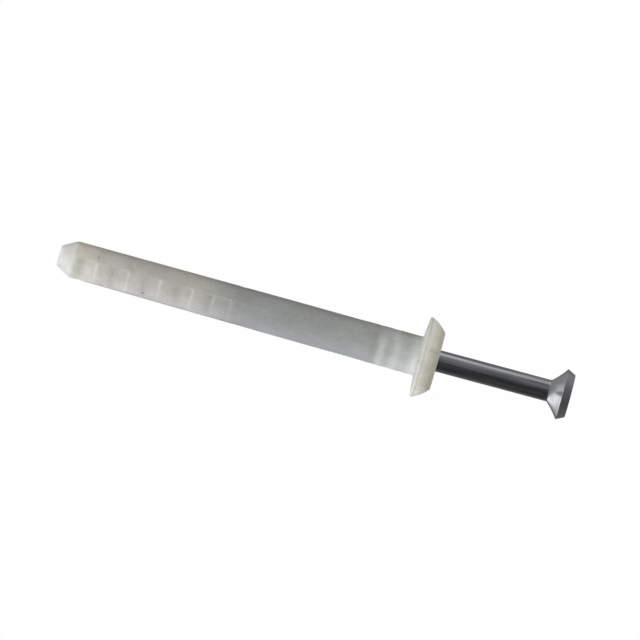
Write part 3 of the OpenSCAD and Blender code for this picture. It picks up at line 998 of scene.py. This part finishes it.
def zinc_material(look, nail):
    """Bright zinc plating over drawn steel: streaks along the shank, dull patches."""
    material, tree, shader = new_material("bright_zinc")
    own = put(tree, "ShaderNodeAttribute", (-6, 0), attribute_name="own")
    split = put(tree, "ShaderNodeSeparateXYZ", (-5, 0))
    vector = own.outputs["Vector"]
    drawn = mask(tree, "Grain", vector, (-4, 1), Stretch=(0.04, 1, 1), Scale=1700.0,
                 Detail=3.0, Low=0.38, High=0.66)
    dull = mask(tree, "Grain", vector, (-4, -1), Stretch=(0.35, 1, 1), Scale=700.0,
                Detail=4.0, Low=0.40, High=0.72)
    neck = nail.length - nail.head_land - nail.head_cone
    shank = span(tree, split.outputs["X"], (-3, 2), neck, neck - 0.8 * MM)
    streaks = sums(tree, (-2, 2), "MULTIPLY", drawn, shank)
    rough = put(tree, "ShaderNodeMapRange", (0, -1), in_To_Min=look.zinc_roughness,
                in_To_Max=look.zinc_roughness + 0.10)
    bump = put(tree, "ShaderNodeBump", (4, -2), in_Strength=0.2, in_Distance=0.01 * MM)
    wire(tree, ((own, "Vector"), (split, 0)), ((bump, 0), (shader, "Normal")),
         ((rough, "Result"), (shader, "Roughness")))
    tree.links.new(mixed(tree, (0, 1), streaks, look.zinc, look.zinc_dark),
                   shader.inputs["Base Color"])
    tree.links.new(dull, rough.inputs["Value"])
    tree.links.new(streaks, bump.inputs["Height"])
    shader.inputs["Metallic"].default_value = 1.0
    return material


def floor_material(stage):
    """A pale floor that the camera sees almost white, and with the plug's shadow: most
    of what it sees is even white light, and the rest is the lit floor."""
    material, tree, shader = new_material("pale_floor")
    shader.inputs["Base Color"].default_value = colour(stage.floor_colour)
    shader.inputs["Roughness"].default_value = 0.8
    shader.inputs["Specular IOR Level"].default_value = 0.0
    part = sums(tree, (4, 3), "MULTIPLY", seen_rays(tree, (1, 3)), FLOOR_GLOW)
    glow = put(tree, "ShaderNodeEmission", (6, 2), in_Color=(1, 1, 1, 1),
               in_Strength=1.0)
    mix = put(tree, "ShaderNodeMixShader", (7, 1))
    output = tree.nodes["Material Output"]
    tree.links.new(part, mix.inputs[0])
    wire(tree, ((shader, 0), (mix, 1)), ((glow, 0), (mix, 2)), ((mix, 0), (output, 0)))
    return material


def white_world(stage):
    """Even light, and plain white where the camera or gloss sees past the floor."""
    world = bpy.data.worlds.new("studio")
    bpy.context.scene.world = world
    tree = empty_tree(world)
    seen = seen_rays(tree, (-4, 0))
    level = put(tree, "ShaderNodeMapRange", (-1, 0), in_To_Min=stage.ambient,
                in_To_Max=1.0)
    shade = mixed(tree, (-1, 2), seen, stage.ambient_tint, (1, 1, 1))
    back = put(tree, "ShaderNodeBackground", (0, 0))
    output = put(tree, "ShaderNodeOutputWorld", (1, 0))
    tree.links.new(seen, level.inputs["Value"])
    tree.links.new(shade, back.inputs["Color"])
    wire(tree, ((level, "Result"), (back, "Strength")), ((back, 0), (output, 0)))


# Levels of what gloss sees, by the angle over the plug: from the back horizon (0) over
# the top (90) to the front horizon (180) and back underneath (270 degrees)
BACKDROP = {
    "beside": ([0, 15, 28, 38, 52, 60, 68, 78, 110, 121, 127, 133, 193, 213, 222, 241,
                270, 312, 360],
               [0.16, 0.19, 0.28, 0.45, 0.56, 0.38, 0.21, 0.16, 0.14, 0.12, 0.07, 0.04,
                0.04, 0.04, 0.05, 0.07, 0.13, 0.16, 0.16]),
    "beyond the head": ([0, 55, 90, 180, 360], [0.22, 0.18, 0.11, 0.07, 0.16]),
    "before the tip": ([0, 215, 245, 263, 272, 288, 305, 330, 360],
                       [0.22, 0.22, 1.0, 1.0, 0.50, 0.32, 0.28, 0.24, 0.22]),
    "far before the tip": ([0, 20, 215, 240, 305, 318, 340, 352, 360],
                           [0.42, 0.22, 0.22, 1.0, 1.0, 0.8, 0.58, 0.45, 0.42]),
}


def blended(low, high, part):
    """Goes from one value to another with the part of the way."""
    return low * (1 - part) + high * part


def add_glow(name, points, level):
    """A grid of points that glows on its front, at the level given at each point. Only
    gloss sees it, so it lights nothing."""
    rows, columns = level.shape
    i = np.arange(rows - 1)[:, None] * columns
    j = np.arange(columns - 1)[None]
    quads = np.stack([i + j, i + j + 1, i + columns + j + 1, i + columns + j], -1)
    mesh = bpy.data.meshes.new(name)
    mesh.from_pydata(points.reshape(-1, 3).tolist(), [], quads.reshape(-1, 4).tolist())
    layer = mesh.attributes.new("level", "FLOAT", "POINT")
    layer.data.foreach_set("value", level.astype(np.float32).ravel())
    material = bpy.data.materials.new(name)
    tree = empty_tree(material)
    glow = put(tree, "ShaderNodeEmission", (0, 0), in_Color=(1, 1, 1, 1))
    clear = put(tree, "ShaderNodeBsdfTransparent", (0, -1))
    side = put(tree, "ShaderNodeNewGeometry", (-1, 1))
    mix = put(tree, "ShaderNodeMixShader", (1, 0))
    output = put(tree, "ShaderNodeOutputMaterial", (2, 0))
    tree.links.new(attribute(tree, "level", (-1, 0)), glow.inputs["Strength"])
    wire(tree, ((side, "Backfacing"), (mix, 0)), ((glow, 0), (mix, 1)),
         ((clear, 0), (mix, 2)), ((mix, 0), (output, 0)))
    material.cycles.emission_sampling = "NONE"
    mesh.materials.append(material)
    backdrop = linked(name, mesh)
    backdrop.visible_camera = backdrop.visible_diffuse = backdrop.visible_shadow = False
    backdrop.visible_transmission = backdrop.visible_volume_scatter = False


def reflected_backdrop(stage, low):
    """What gloss sees: a wide sphere round the plug, lit by direction alone, as the
    tables of levels say. Beside the plug a bright band stands at the back, with grey
    over the top, dark in front and dim below. Behind the head it is grey, and towards
    the tip it is grey above and white below, as a pale table would be."""
    rise = np.radians(np.linspace(-89.9, 89.9, 91))[:, None]
    turned = np.radians(np.linspace(360, 0, 121))[None]
    way = np.stack(np.broadcast_arrays(np.cos(rise) * np.cos(turned),
                                       np.cos(rise) * np.sin(turned),
                                       np.sin(rise) + 0 * turned), -1)
    over = np.degrees(np.arctan2(way[..., 2], way[..., 1])) % 360
    beside, beyond, before, ahead = (np.interp(over, *table)
                                     for table in BACKDROP.values())
    towards_head = way[..., 0]
    before = blended(before, ahead, smooth((-towards_head - 0.80) / 0.17))
    level = blended(beside, beyond, smooth((towards_head - 0.25) / 0.3))
    level = blended(level, before, smooth((-towards_head - 0.30) / 0.2))
    centre = np.array([0.015, 0, low])
    add_glow("reflected_backdrop", centre + stage.backdrop_radius * way, level)


def add_lamp(name, place, target, sides, watts, tinted=(1, 1, 1)):
    """A soft rectangular lamp that looks at a point."""
    data = bpy.data.lights.new(name, "AREA")
    data.shape = "RECTANGLE"
    data.size, data.size_y = sides
    data.energy = watts
    data.color = tinted
    lamp = linked(name, data)
    lamp.visible_camera = lamp.visible_glossy = False
    lamp.location = place
    way = Vector(target) - Vector(place)
    lamp.rotation_euler = way.to_track_quat("-Z", "Y").to_euler()


def aim_camera(stage, sleeve, roll):
    """The camera looks at a point beside the plug's axis. Its back points along the
    azimuth and elevation, and its sides are turned about that line by the tilt."""
    e, a = stage.elevation, stage.azimuth
    back = Vector((math.cos(e) * math.sin(a), -math.cos(e) * math.cos(a), math.sin(e)))
    right = Vector((0, 0, 1)).cross(back).normalized()
    up = back.cross(right)
    tilted_right = math.cos(stage.tilt) * right + math.sin(stage.tilt) * up
    tilted_up = math.cos(stage.tilt) * up - math.sin(stage.tilt) * right
    on_axis = Vector(laid(np.array([[stage.look_at, 0, 0]]), sleeve, roll)[0])
    target = on_axis + stage.rise * tilted_up
    data = bpy.data.cameras.new("camera")
    data.lens = stage.lens
    data.sensor_width = 36.0
    data.clip_start = 0.01
    data.clip_end = 20.0
    camera = linked("camera", data)
    turned = Matrix((tilted_right, tilted_up, back)).transposed().to_4x4()
    camera.matrix_world = Matrix.Translation(target + stage.distance * back) @ turned
    bpy.context.scene.camera = camera


class PLUG_OT_stage(bpy.types.Operator):
    """Adds the camera, the pale floor, the soft lamps and the white surroundings"""

    bl_idname = "plug.stage"
    bl_label = "Set Up Stage"

    def execute(self, context):
        stage, sleeve = context.scene.plug_stage, context.scene.plug_sleeve
        roll = context.scene.plug_finishes.roll
        aim_camera(stage, sleeve, roll)
        white_world(stage)
        side = stage.floor_side / 2
        low = CAD_BOX[0][2]
        square = np.array([(-1, -1), (1, -1), (1, 1), (-1, 1)]) * side
        mesh = bpy.data.meshes.new("floor")
        mesh.from_pydata([(x, y, low) for x, y in square], [], [(0, 1, 2, 3)])
        mesh.materials.append(floor_material(stage))
        floor = linked("floor", mesh)
        floor.visible_glossy = False   # gloss sees the backdrop's lower half instead
        reflected_backdrop(stage, low)
        add_lamp("tip_lamp", (-0.65, -0.28, 0.18), (-0.02, 0, 0), (0.3, 0.25),
                 stage.key)
        add_lamp("rear_lamp", (0.40, 0.10, 0.30), (0, 0, 0), (0.25, 0.25), stage.rear)
        for name, (x, y), above, sides, watts in (
                ("front_panel", (-0.041, -0.036), 1 * MM, (0.090, 0.05), stage.bounce),
                ("low_panel", (-0.0335, -0.003), 0.5 * MM, (0.080, 0.016), stage.glow)):
            add_lamp(name, (x, y, low + above), (x, y, 1), sides, watts,
                     stage.bounce_tint)
        context.scene.view_settings.view_transform = "Standard"
        return {"FINISHED"}


class PLUG_OT_sleeve(bpy.types.Operator):
    """Builds the moulded nylon sleeve with its collar, bore, slit and recesses"""

    bl_idname = "plug.sleeve"
    bl_label = "Build Sleeve"

    def execute(self, context):
        sleeve, look = context.scene.plug_sleeve, context.scene.plug_finishes
        points, quads, triangles, layers = sleeve_surface(
            sleeve, context.scene.plug_nail)
        piece = solid("nylon_sleeve", laid(points, sleeve, look.roll), quads, triangles,
                      layers)
        piece.data.materials.append(
            nylon_material(look, sleeve, context.scene.plug_nail))
        # Its scattered light shows in the nail as coloured noise, so it stays out there
        piece.visible_glossy = False
        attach(piece, "root")
        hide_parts("sleeve")
        return {"FINISHED"}


class PLUG_OT_nail(bpy.types.Operator):
    """Builds the zinc-plated drive nail with its countersunk head"""

    bl_idname = "plug.nail"
    bl_label = "Build Nail"

    def execute(self, context):
        sleeve, nail = context.scene.plug_sleeve, context.scene.plug_nail
        look = context.scene.plug_finishes
        points, quads, triangles, layers = nail_surface(nail)
        points = laid(nail_place(points, nail, sleeve), sleeve, look.roll)
        piece = solid("drive_nail", points, quads, triangles, layers)
        piece.data.materials.append(zinc_material(look, nail))
        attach(piece, "root")
        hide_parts("nail")
        return {"FINISHED"}


class PLUG_PT_sidebar(bpy.types.Panel):
    """Lists the pieces of the wall plug"""

    bl_idname = "PLUG_PT_sidebar"
    bl_label = "Wall Plug"
    bl_space_type = "VIEW_3D"
    bl_region_type = "UI"
    bl_category = "Wall Plug"

    def draw(self, context):
        scene, layout = context.scene, self.layout
        for operator in OPERATORS:
            layout.operator(operator.bl_idname)
        for group in (scene.plug_sleeve, scene.plug_nail, scene.plug_finishes,
                      scene.plug_stage):
            box = layout.box()
            for key in group.bl_rna.properties.keys():
                if key not in ("rna_type", "name"):
                    box.prop(group, key)


OPERATORS = (PLUG_OT_stage, PLUG_OT_sleeve, PLUG_OT_nail)
GROUPS = {"plug_sleeve": SleeveSizes, "plug_nail": NailSizes,
          "plug_finishes": Finishes, "plug_stage": StageSettings}


def register():
    """Adds the classes, and the groups of sizes to the scene."""
    for kind in (*GROUPS.values(), *OPERATORS, PLUG_PT_sidebar):
        bpy.utils.register_class(kind)
    for key, kind in GROUPS.items():
        setattr(bpy.types.Scene, key, PointerProperty(type=kind))


def unregister():
    """Takes them away again."""
    for key in GROUPS:
        delattr(bpy.types.Scene, key)
    for kind in (PLUG_PT_sidebar, *OPERATORS[::-1], *GROUPS.values()):
        bpy.utils.unregister_class(kind)


def main():
    register()
    grain_group()
    speck_group()
    bpy.ops.plug.stage()
    bpy.ops.plug.sleeve()
    bpy.ops.plug.nail()


if __name__ == "__main__":
    main()
